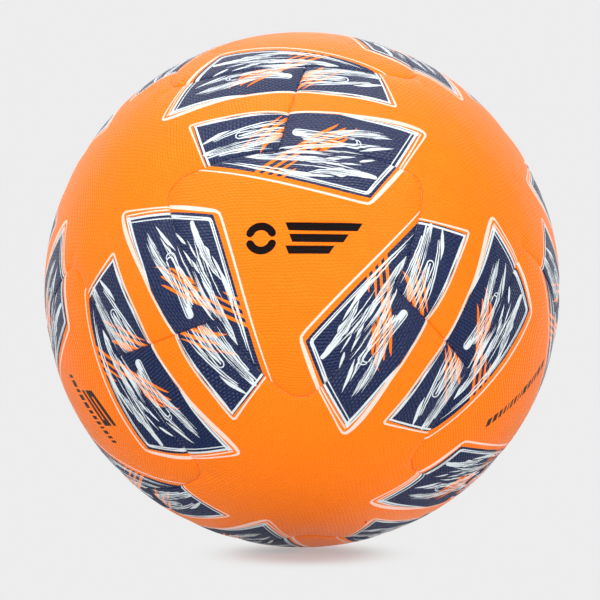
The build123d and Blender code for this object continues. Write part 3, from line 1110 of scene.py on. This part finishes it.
@dataclass(frozen=True)
class CoverFinish:
    """Embossed polyurethane cover or one printed ink on it.

    Attributes:
        name: Name of the material.
        light: Colour on the raised grain.
        deep: Colour of the random stains, and of the grain's hollows as painted shade.
        rough: Lowest and highest roughness.
        relief: Height of the grain in millimetres.
        specks: Share of the painted highlight, a pale colour on the grain tops.
        coat: Weight of the clear coat.
        sheen: Weight of the pale glow at grazing angles.
        gloss: Strength of the plain reflection.
    """

    name: str
    light: Colour
    deep: Colour
    rough: Point = (0.36, 0.5)
    relief: float = 0.06
    specks: float = 0.0
    coat: float = 0.08
    sheen: float = 0.1
    gloss: float = 0.26

    STAIN: ClassVar[float] = 0.4
    PAINTED_HOLLOW_SHADE: ClassVar[float] = 0.42
    PAINTED_GLINT: ClassVar[Colour] = (0.55, 0.6, 0.72)
    PAINTED_GLINT_HEIGHTS: ClassVar[Point] = (0.93, 1.12)

    def material(self, grain: bpy.types.NodeTree) -> bpy.types.Material:
        """The finish as a material."""
        made, n = new_material(self.name)
        place = n.add("ShaderNodeUVMap", uv_map="panel").outputs[0]
        rows = n.add("ShaderNodeGroup", node_tree=grain)
        n.tree.links.new(place, rows.inputs[0])
        height, mottle, pores = rows.outputs
        tone = (*self.light, 1)
        # Darker at the random stains, and darker in the grain's hollows as painted shade.
        for value, share in ((mottle, self.STAIN), (height, self.PAINTED_HOLLOW_SHADE)):
            tone = n.mix(n.times(n.maths("SUBTRACT", 1.0, value), share), tone, (*self.deep, 1))
        # Painted highlight: pale colour on the tops of the grain, standing in for glints off the embossing.
        if self.specks:
            tops = n.ramp(height, list(zip(self.PAINTED_GLINT_HEIGHTS, ((0, 0, 0), (1, 1, 1)))))
            tone = n.mix(n.times(tops, self.specks), tone, (*self.PAINTED_GLINT, 1))
        bump = n.add("ShaderNodeBump", {"Strength": 1.0, "Distance": self.relief * MM, "Height": height})
        n.surface({"Base Color": tone, "Roughness": n.rough(pores, self.rough), "Normal": bump.outputs[0],
                   "Specular IOR Level": self.gloss, "Coat Weight": self.coat, "Coat Roughness": 0.35,
                   "Sheen Weight": self.sheen, "Sheen Roughness": 0.2,
                   "Sheen Tint": (1.0, 0.86, 0.86, 1)})
        return made


COVER_FINISHES = {
    Ink.COVER: CoverFinish("cover_orange", (1.0, 0.215, 0.001), (0.97, 0.15, 0.001), relief=0.24,
                           coat=0.02, sheen=0.34, gloss=0.15),
    Ink.NAVY: CoverFinish("print_navy", (0.004, 0.017, 0.085), (0.002, 0.008, 0.045), (0.2, 0.34),
                          0.5, 0.05, 0.05, 0.08, 0.36),
    Ink.GREY: CoverFinish("print_grey", (0.66, 0.72, 0.74), (0.58, 0.65, 0.68), (0.36, 0.5), 0.1),
    Ink.PEACH: CoverFinish("print_peach", (1.0, 0.66, 0.56), (0.95, 0.58, 0.47), (0.4, 0.54), 0.1),
    Ink.BLACK: CoverFinish("print_black", (0.006, 0.003, 0.003), (0.003, 0.001, 0.001), (0.3, 0.44),
                           0.1, 0.0, 0.01, 0.0, 0.08),
    Ink.SLATE: CoverFinish("print_slate", (0.05, 0.028, 0.024), (0.03, 0.018, 0.015), (0.36, 0.5),
                           0.1, 0.0, 0.05, 0.0, 0.2),
}


@dataclass(frozen=True)
class InnerFinish:
    """Finish of a layer under the cover, broken up by noise in the object's own space.

    Attributes:
        name: Name of the material.
        light: Colour on top.
        deep: Colour in pores and stains.
        rough: Lowest and highest roughness.
        scale: Size of the texture, in cells per metre.
        relief: Height of the texture in millimetres.
        cells: True for foam-like cells, False for grain.
    """

    name: str
    light: Colour
    deep: Colour
    rough: Point
    scale: float
    relief: float
    cells: bool = False

    def material(self) -> bpy.types.Material:
        """The finish as a material."""
        made, n = new_material(self.name)
        place = n.add("ShaderNodeTexCoord").outputs["Object"]
        if self.cells:
            fine = n.add("ShaderNodeTexVoronoi", {"Vector": place, "Scale": self.scale}).outputs["Distance"]
        else:
            fine = n.noise(place, self.scale, 6.0, 0.62)
        stain = n.noise(place, self.scale * 0.06, 3.0)
        tone = n.ramp(n.maths("ADD", n.times(fine, 0.5), n.times(stain, 0.5)),
                      [(0.3, self.deep), (0.62, self.light)])
        bump = n.add("ShaderNodeBump", {"Strength": 0.9, "Distance": self.relief * MM, "Height": fine})
        n.surface({"Base Color": tone, "Roughness": n.rough(stain, self.rough), "Normal": bump.outputs[0]})
        return made


INNER_FINISHES = {
    "foam": InnerFinish("cell_foam", (0.80, 0.76, 0.66), (0.55, 0.50, 0.40), (0.75, 0.92), 1600, 0.1, True),
    # The seam adhesive is real, but it is coloured near black as painted shade in the seam gap.
    "adhesive": InnerFinish("adhesive_dark_as_seam_shade", (0.07, 0.026, 0.014), (0.03, 0.012, 0.008), (0.25, 0.45),
                            500, 0.08),
    "butyl": InnerFinish("bladder_butyl", (0.03, 0.03, 0.034), (0.012, 0.012, 0.014), (0.38, 0.6),
                         900, 0.05),
    "patch": InnerFinish("patch_rubber", (0.10, 0.10, 0.11), (0.05, 0.05, 0.055), (0.6, 0.8), 1400, 0.08),
    "valve": InnerFinish("valve_rubber", (0.028, 0.027, 0.027), (0.012, 0.012, 0.012), (0.42, 0.6),
                         1200, 0.04),
    "plug": InnerFinish("plug_rubber", (0.30, 0.035, 0.02), (0.16, 0.015, 0.01), (0.4, 0.58), 1200, 0.04),
    "rubber": InnerFinish("carcass_latex", (0.52, 0.44, 0.30), (0.36, 0.28, 0.17), (0.45, 0.7), 700, 0.05),
    "thread": InnerFinish("wound_thread", (0.66, 0.58, 0.44), (0.40, 0.34, 0.24), (0.6, 0.85), 2600, 0.06),
}


# ---- pieces ----------------------------------------------------------------------------------------

@dataclass
class SkinBuilder:
    """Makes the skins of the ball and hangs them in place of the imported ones.

    Attributes:
        cover: Sizes of the cover.
        seams: Seam lines of the whole ball.
        materials: Materials in the order of the ink values.
    """

    cover: Cover
    seams: Seams
    materials: list[bpy.types.Material]

    SLOPE_STEP: ClassVar[float] = 0.05
    MOUTH_DIP: ClassVar[Point] = (0.35, 0.7)
    OVERLAP: ClassVar[float] = 0.02
    THINNEST: ClassVar[float] = 0.12

    def normals(self, directions: np.ndarray) -> np.ndarray:
        """Outward normals of the outer surface, from the slope of its drop below the sphere."""
        helper = np.where(np.abs(directions[:, 2:3]) < 0.9, [[0.0, 0, 1]], [[1.0, 0, 0]])
        first = unit(np.cross(directions, helper))
        second = np.cross(directions, first)
        slopes = []
        for axis in (first, second):
            step = axis * self.SLOPE_STEP / self.cover.radius
            rise = self.seams.drop(unit(directions + step)) - self.seams.drop(unit(directions - step))
            slopes.append(rise / (2 * self.SLOPE_STEP))
        return unit(directions + first * slopes[0][:, None] + second * slopes[1][:, None])

    def build(self, panel: Panel) -> tuple:
        """Closed shell of one panel: outer face, walls that lean to the next panel's, and inner face.

        Args:
            panel: The panel.

        Returns:
            Points, faces, ink of each face, normals of each point and map place of each point.
        """
        sheet = panel.mesh()
        radius = self.cover.radius
        directions = panel.chart.lift(sheet.flat)
        drop = self.seams.drop(directions)
        if panel.hole_at is not None:
            gap = np.linalg.norm(sheet.flat - panel.hole_at, axis=1) - panel.hole_radius
            depth, reach = self.MOUTH_DIP
            drop = drop + depth * np.exp(-(np.maximum(gap, 0) / reach) ** 2)
        outer = directions * (radius - drop)[:, None]
        normals = self.normals(directions)
        count = len(outer)
        under = directions.copy()
        edge, leaning = directions[sheet.rim], normals[sheet.rim]
        outwards = unit(leaning - edge * np.einsum("ij,ij->i", leaning, edge)[:, None])
        under[sheet.rim] += outwards * self.cover.gap / 2 / radius
        inner_radius = radius - self.cover.skin + self.OVERLAP
        inner = unit(under) * np.minimum(radius - drop - self.THINNEST, inner_radius)[:, None]
        faces = [tuple(t) for t in sheet.triangles] + [tuple(t[::-1] + count) for t in sheet.triangles]
        inks = [*sheet.inks] + [Ink.COVER.value] * len(sheet.triangles)
        ink_of = {(t[k], t[k - 2]): ink for t, ink in zip(sheet.triangles, sheet.inks) for k in range(3)}
        for loop in (sheet.rim, sheet.hole):
            for a, b in zip(loop, np.roll(loop, -1)):
                faces.append((b, a, a + count, b + count))
                inks.append(ink_of[a, b])
        return (np.vstack([outer, inner]) * MM, faces, np.array(inks), np.vstack([normals, -directions]),
                np.vstack([sheet.flat, sheet.flat]))

    def place(self, name: str, node: str, made: tuple, spin: np.ndarray, mapped: float) -> None:
        """Add one skin as an object.

        Args:
            name: Name of the piece.
            node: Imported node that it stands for.
            made: What build returned.
            spin: Turn from the modelled panel to this one.
            mapped: Turn of its grain, in degrees.
        """
        points, faces, inks, normals, flat = made
        mesh = bpy.data.meshes.new(name)
        mesh.from_pydata((points @ spin.T).tolist(), [], faces)
        for material in self.materials:
            mesh.materials.append(material)
        mesh.polygons.foreach_set("material_index", inks.astype(np.int32))
        corners = np.empty(len(mesh.loops), np.int32)
        mesh.loops.foreach_get("vertex_index", corners)
        c, s = math.cos(math.radians(mapped)), math.sin(math.radians(mapped))
        uv = mesh.uv_layers.new(name="panel")
        uv.data.foreach_set("uv", (flat @ np.array([[c, s], [-s, c]]))[corners].astype(np.float32).ravel())
        mesh.polygons.foreach_set("use_smooth", np.ones(len(mesh.polygons), bool))
        sides = np.array([len(p.vertices) == 4 for p in mesh.polygons])
        per_corner = (normals @ spin.T)[corners]
        totals = np.array([p.loop_total for p in mesh.polygons])
        flat_faces = np.repeat(sides, totals)
        face_normals = np.repeat(np.array([p.normal[:] for p in mesh.polygons]), totals, axis=0)
        per_corner[flat_faces] = face_normals[flat_faces]
        mesh.normals_split_custom_set(per_corner.tolist())
        piece = add_object(name, mesh)
        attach(piece, "root")
        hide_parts(node)
        report(piece)


@dataclass
class Ball:
    """The ball's panels, laid out from its sizes.

    Attributes:
        cover: Sizes of the cover.
        layout: Where the panels lie.
        mouth: Direction of the valve mouth.
        mouth_radius: Radius of the valve mouth in millimetres.
    """

    cover: Cover
    layout: Layout
    mouth: np.ndarray
    mouth_radius: float = 1.2

    SEAM_POINTS: ClassVar[int] = 36

    def __post_init__(self) -> None:
        """Lay out the panels' axes, seam loops and junctions."""
        self.corner_axes, self.face_axes = self.layout.axes()
        self.turns = [facing(axis, self.first_tip(axis)) for axis in self.corner_axes]
        self.loops = [self.cover.corner_loop(turn) for turn in self.turns]
        self.junctions = [(c, k, from_polar(turn, self.cover.junction_polar,
                                            120 * k + self.cover.junction_turn))
                          for c, turn in enumerate(self.turns) for k in range(3)]

    def first_tip(self, axis: np.ndarray) -> np.ndarray:
        """Direction of the first face panel that a corner panel touches."""
        return next(face for face in self.face_axes if face @ axis > 0)

    def twin(self, junction: np.ndarray) -> np.ndarray:
        """The junction at the other end of a junction's straight seam."""
        others = [place for _, _, place in self.junctions if place @ junction < 0.99999]
        return max(others, key=lambda place: place @ junction)

    def patch_chart(self, junction: np.ndarray) -> Chart:
        """Map round a junction with its straight seam upwards."""
        turn = facing(junction, self.twin(junction))
        upwards = turn[:, 0]
        return Chart(np.column_stack([np.cross(upwards, junction), upwards, junction]), self.cover.radius)

    def straight_seam(self, start: np.ndarray, end: np.ndarray) -> np.ndarray:
        """Points of the seam between two junctions."""
        t = np.linspace(0, 1, self.SEAM_POINTS)[:, None]
        return unit(start * (1 - t) + end * t)

    def seams(self) -> Seams:
        """Every seam of the ball."""
        pairs = [(place, self.twin(place)) for _, _, place in self.junctions]
        straight = [self.straight_seam(start, end) for start, end in pairs if tuple(start) < tuple(end)]
        return all_seams(self.cover, self.turns, straight)

    def corner_panel(self, index: int) -> Panel:
        """A corner panel with the lower parts of its three patches."""
        chart = Chart(self.turns[index], self.cover.radius)
        pieces = [piece[:-1] for piece in self.loops[index]]
        corners = np.concatenate([np.arange(len(piece)) == 0 for piece in pieces])
        prints = [(self.patch_chart(place), Part.LOWER) for c, _, place in self.junctions if c == index]
        return Panel(self.cover, chart, chart.flatten(np.vstack(pieces)), corners, prints)

    def face_panel(self, index: int) -> Panel:
        """A face panel with a left or a right part of each of the eight patches on its rim."""
        axis = self.face_axes[index]
        chart = Chart(facing(axis, self.face_axes[(index + 1) % 3]), self.cover.radius)
        pieces, prints = [], []
        for c, corner in enumerate(self.corner_axes):
            if corner @ axis < 0:
                continue
            tips = [from_polar(self.turns[c], self.cover.tip_polar, 120 * k) for k in range(3)]
            k = int(np.argmax([tip @ axis for tip in tips]))
            pieces.append(self.loops[c][k][::-1])
            prints.append((self.patch_chart(self.junctions[3 * c + k][2]), Part.RIGHT))
            prints.append((self.patch_chart(self.junctions[3 * c + (k - 1) % 3][2]), Part.LEFT))
        centre = [chart.flatten(piece[len(piece) // 2][None])[0] for piece in pieces]
        order = np.argsort([math.atan2(y, x) for x, y in centre])
        points, corners = [], []
        for here, following in zip(order, np.roll(order, -1)):
            seam = self.straight_seam(pieces[here][-1], pieces[following][0])
            for run in (pieces[here][:-1], seam[:-1]):
                points.append(run)
                corners.append(np.arange(len(run)) == 0)
        return Panel(self.cover, chart, chart.flatten(np.vstack(points)), np.concatenate(corners), prints)


def make_cover(ball: Ball, materials: list[bpy.types.Material]) -> None:
    """All fourteen skins, the plain ones as turned copies of one mesh."""
    builder = SkinBuilder(ball.cover, ball.seams(), materials)
    plain: dict[str, tuple] = {}
    panels = [("corner", k, ball.corner_panel(k), 90.0) for k in range(8)]
    panels += [("face", k, ball.face_panel(k), 0.0) for k in range(6)]
    for kind, index, panel, mapped in panels:
        if kind == "corner" and index in DECALS:
            panel.marks = DECALS[index].on(panel.chart)
        if kind == "face" and index == 0:
            panel.hole_at, panel.hole_radius = panel.chart.flatten(ball.mouth[None])[0], ball.mouth_radius
        own = bool(panel.marks) or panel.hole_at is not None
        made, turn = (builder.build(panel), panel.chart.turn) if own or kind not in plain else plain[kind]
        spin = np.eye(3) if turn is panel.chart.turn else panel.chart.turn @ turn.T
        if not own:
            plain[kind] = (made, turn)
        builder.place(f"{kind}_skin_{index + 1}", f"{kind}_panel_{index + 1}", made, spin, mapped)


def finish_inner_layers() -> None:
    """Give each packed inner layer its own finish."""
    kinds = {"foam": "foam", "seam_adhesive": "adhesive", "carcass": "rubber", "bladder": "butyl",
             "patch": "patch", "valve_body": "valve", "valve_plug": "plug"}
    made = {name: finish.material() for name, finish in INNER_FINISHES.items()}
    for name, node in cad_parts.items():
        kind = next((finish for word, finish in kinds.items() if word in name), None)
        if kind is None:
            continue
        node.data.materials.clear()
        node.data.materials.append(made[kind])
        report(node)


@dataclass(frozen=True)
class ThreadWinding:
    """Polyester thread wound round the rubber carcass, drawn as closed turns. Sizes are in metres.

    Attributes:
        reach: Radius of the carcass over the thread.
        mouth: Direction of the valve, which the thread keeps clear of.
        clearance: Distance kept from the valve's axis.
        thread: Radius of the thread.
        turns: Number of turns before those over the valve are left out.
        seed: Seed of the directions of the turns.
    """

    reach: float
    mouth: Place
    clearance: float = 0.0055
    thread: float = 0.00017
    turns: int = 190
    seed: int = 4

    RING_POINTS: ClassVar[int] = 96
    SECTION_POINTS: ClassVar[int] = 5

    def tree(self, material: bpy.types.Material) -> tuple[bpy.types.NodeTree, dict[str, int]]:
        """Geometry tree that lays the turns, and the values of its inputs by socket identifier."""
        tree = bpy.data.node_groups.new("thread_winding", "GeometryNodeTree")
        face = tree.interface
        values = {face.new_socket(name, in_out="INPUT", socket_type="NodeSocketInt").identifier: value
                  for name, value in (("Turns", self.turns), ("Seed", self.seed))}
        face.new_socket("Geometry", in_out="OUTPUT", socket_type="NodeSocketGeometry")
        n = Nodes(tree)
        entry = tree.nodes.new("NodeGroupInput")
        places = n.add("GeometryNodeMeshLine", {"Count": entry.outputs["Turns"], "Offset": (0.0, 0.0, 0.0)})
        turn = n.add("FunctionNodeRandomValue", {"Min": (0.0,) * 3, "Max": (2 * math.pi,) * 3,
                                                 "Seed": entry.outputs["Seed"]}, data_type="FLOAT_VECTOR")
        pole = n.add("FunctionNodeRotateVector", {"Vector": (0.0, 0.0, 1.0), "Rotation": turn.outputs[0]})
        lean = n.add("ShaderNodeVectorMath", {0: pole.outputs[0], 1: self.mouth}, operation="DOT_PRODUCT")
        clear = n.maths("GREATER_THAN", n.maths("ABSOLUTE", lean.outputs["Value"]),
                        self.clearance / self.reach)
        ring, section = (n.add("GeometryNodeCurvePrimitiveCircle", {"Resolution": points, "Radius": radius})
                         for points, radius in ((self.RING_POINTS, self.reach - self.thread),
                                                (self.SECTION_POINTS, self.thread)))
        loop = n.add("GeometryNodeCurveToMesh", {"Curve": ring.outputs[0],
                                                 "Profile Curve": section.outputs[0]})
        laid = n.add("GeometryNodeInstanceOnPoints", {
            "Points": places.outputs[0], "Selection": clear, "Instance": loop.outputs[0],
            "Rotation": turn.outputs[0]})
        real = n.add("GeometryNodeRealizeInstances", {"Geometry": laid.outputs[0]})
        dressed = n.add("GeometryNodeSetMaterial", {"Geometry": real.outputs[0], "Material": material})
        tree.links.new(dressed.outputs[0], tree.nodes.new("NodeGroupOutput").inputs[0])
        return tree, values

    def make(self, material: bpy.types.Material) -> bpy.types.Object:
        """The thread as a finished piece."""
        maker = add_object("thread_maker", bpy.data.meshes.new("thread_maker"))
        modifier = maker.modifiers.new("winding", "NODES")
        modifier.node_group, values = self.tree(material)
        for identifier, value in values.items():
            modifier[identifier] = value
        bpy.context.view_layer.update()
        mesh = bpy.data.meshes.new_from_object(maker.evaluated_get(bpy.context.evaluated_depsgraph_get()))
        bpy.data.objects.remove(maker)
        corners = np.array([mesh.vertices[v].co[:] for v in mesh.polygons[0].vertices])
        middle = corners.mean(axis=0)
        if np.array(mesh.polygons[0].normal) @ (middle - unit(middle) * (self.reach - self.thread)) < 0:
            mesh.flip_normals()
        mesh.name = "carcass_thread"
        return add_object("carcass_thread", mesh)


RUBBER_DROP = 0.25 * MM
ON_SURFACE = 0.05 * MM


def wind_carcass(mouth: np.ndarray) -> None:
    """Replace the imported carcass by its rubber, a little lower, and the thread wound over it."""
    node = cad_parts["wound_carcass"]
    reach = max(vertex.co.length for vertex in node.data.vertices)
    rubber = add_object("carcass_rubber", node.data.copy())
    for vertex in rubber.data.vertices:
        if vertex.co.length > reach - ON_SURFACE:
            vertex.co = vertex.co.normalized() * (reach - RUBBER_DROP)
    thread = ThreadWinding(reach, tuple(mouth)).make(INNER_FINISHES["thread"].material())
    for piece in (rubber, thread):
        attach(piece, "root")
        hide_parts("wound_carcass")
        report(piece)


# ---- studio ----------------------------------------------------------------------------------------

@dataclass(frozen=True)
class Softbox:
    """A soft square light aimed at the ball.

    Attributes:
        name: Name of the light.
        place: Where it stands, in metres.
        size: Side of the square.
        power: Power in watts.
        colour: Colour of its light.
    """

    name: str
    place: Place
    size: float
    power: float
    colour: Colour = WHITE[:3]

    def make(self) -> None:
        """Add the light."""
        data = bpy.data.lights.new(self.name, "AREA")
        data.shape, data.size, data.energy, data.color = "SQUARE", self.size, self.power, self.colour
        lamp = add_object(self.name, data)
        lamp.location = self.place
        lamp.rotation_euler = Vector(self.place).to_track_quat("Z", "Y").to_euler()


SOFTBOXES = (
    Softbox("softbox_top", (0.0, 0.05, 1.25), 1.1, 16.0),
    Softbox("softbox_left", (-1.1, -0.85, 0.6), 0.6, 14.0),
    Softbox("softbox_right", (1.05, -1.1, 0.35), 0.7, 14.0),
    Softbox("card_low", (0.1, -1.5, -0.09), 0.7, 10.0, (1.0, 0.88, 0.82)),
)


@dataclass(frozen=True)
class Backdrop:
    """Evenly glowing paper that lies flat under the ball and curves up behind it, with a painted shadow
    close to the ball. Sizes are in metres.

    Attributes:
        glow: Brightness of the paper.
        shadow_at: Middle of the shadow on the paper.
        shadow_size: Half its width and half its depth.
        shadow_edge: How sharply the shadow ends.
        shadow_share: Share of the glow that the painted shadow takes away.
        shadow_paper: Colour of the paper in the painted shadow, which the lights fall on.
        shadow_glow: Colour of what is left of the glow there, tinted warm as a painted bounce from the
            ball.
        wide: Half the width of the paper.
        front: Its front edge.
        split: Where the floor ends and the wall's sheet starts.
        bend: Where it starts to curve up, which is also how far out it does.
        curve: Radius of the curve.
        high: Height of its top edge.
    """

    glow: float = 0.847
    shadow_at: Point = (0.001, -0.036)
    shadow_size: Point = (0.031, 0.052)
    shadow_edge: float = 3.6
    shadow_share: float = 0.48
    shadow_paper: Colour = (0.2, 0.16, 0.155)
    shadow_glow: Colour = (1.0, 0.955, 0.945)
    wide: float = 6.0
    front: float = -4.0
    split: float = 0.35
    bend: float = 3.0
    curve: float = 2.0
    high: float = 6.0

    def paper(self, level: float) -> bpy.types.Material:
        """Glowing paper with a painted shadow close to the ball, the only place where it also takes the
        lamps' light.
        """
        paper, n = new_material("paper_backdrop")
        place = n.add("ShaderNodeTexCoord").outputs["Object"]
        (x, y), (wide, deep) = self.shadow_at, self.shadow_size
        spread = n.vector("MULTIPLY", n.vector("ADD", place, (-x, -y, -level)), (1 / wide, 1 / deep, 1.0))
        reach = n.add("ShaderNodeVectorMath", {0: spread}, operation="LENGTH").outputs["Value"]
        near = n.maths("EXPONENT", n.times(n.maths("POWER", reach, self.shadow_edge), -1.0))
        fleck = n.maths("MULTIPLY_ADD", n.noise(place, 900.0), 0.01, 0.995)
        # Painted shadow: the glow is dimmed and warmed near the ball, and only there does the paper take
        # real light.
        left = n.maths("MULTIPLY_ADD", n.times(near, self.shadow_share), -1.0, self.glow)
        n.surface({"Base Color": n.mix(near, (0.0, 0.0, 0.0, 1), (*self.shadow_paper, 1)), "Roughness": 0.9,
                   "Specular IOR Level": 0.0, "Emission Color": n.mix(near, WHITE, (*self.shadow_glow, 1)),
                   "Emission Strength": n.times(left, fleck)})
        return paper

    def make(self, level: float) -> None:
        """Add the floor and the wall at a level."""
        paper = self.paper(level)
        turns = np.linspace(0.1, math.pi / 2, 14)
        curve = [(self.bend + self.curve * math.sin(a), self.curve - self.curve * math.cos(a))
                 for a in turns]
        profiles = {"studio_floor": [(self.front, 0.0), (self.split, 0.0)],
                    "studio_wall": [(self.split, 0.0), (self.bend, 0.0), *curve,
                                    (self.bend + self.curve, self.high)]}
        for name, profile in profiles.items():
            rows = [(x, y, level + z) for y, z in profile for x in (-self.wide, self.wide)]
            faces = [(2 * k, 2 * k + 1, 2 * k + 3, 2 * k + 2) for k in range(len(profile) - 1)]
            mesh = bpy.data.meshes.new(name)
            mesh.from_pydata(rows, [], faces)
            mesh.materials.append(paper)
            sheet = add_object(name, mesh)
            sheet.visible_glossy = name == "studio_wall"


@dataclass(frozen=True)
class Camera:
    """Camera that looks level at the ball from the front.

    Attributes:
        place: Where it stands, in metres.
        aim: Point that it looks at.
        lens: Focal length in millimetres.
        sensor: Width of the sensor in millimetres.
    """

    place: Place = (0.0, -1.371, 0.0)
    aim: Place = (-0.0009, 0.0, -0.00436)
    lens: float = 192.4
    sensor: float = 36.0

    def make(self) -> None:
        """Add the camera and look through it."""
        data = bpy.data.cameras.new("camera")
        data.lens, data.sensor_width = self.lens, self.sensor
        camera = add_object("camera", data)
        camera.location = self.place
        aim = Vector(self.aim) - camera.location
        camera.rotation_euler = aim.to_track_quat("-Z", "Y").to_euler()
        bpy.context.scene.camera = camera


AIR_LIGHT = 0.22


def make_studio(level: float) -> None:
    """Backdrop, lights, world and camera."""
    Backdrop().make(level)
    for softbox in SOFTBOXES:
        softbox.make()
    scene = bpy.context.scene
    world = bpy.data.worlds.new("studio_air")
    world.use_nodes = True
    background = world.node_tree.nodes["Background"]
    background.inputs[0].default_value, background.inputs[1].default_value = WHITE, AIR_LIGHT
    scene.world = world
    scene.view_settings.view_transform = "Standard"
    Camera().make()


def main() -> None:
    """Build the ball and its studio."""
    logging.basicConfig(level=logging.INFO)
    low, high = CAD_BOX
    radius = (high.z - low.z) / 2 / MM
    LOG.info("ball radius %.3f mm", radius)
    grain = grain_group()
    materials = [COVER_FINISHES[ink].material(grain) for ink in Ink if ink in COVER_FINISHES]
    ball = Ball(Cover(radius), Layout(), unit(np.array(MOUTH)))
    make_cover(ball, materials)
    finish_inner_layers()
    wind_carcass(ball.mouth)
    make_studio(low.z)


if __name__ == "__main__":
    main()
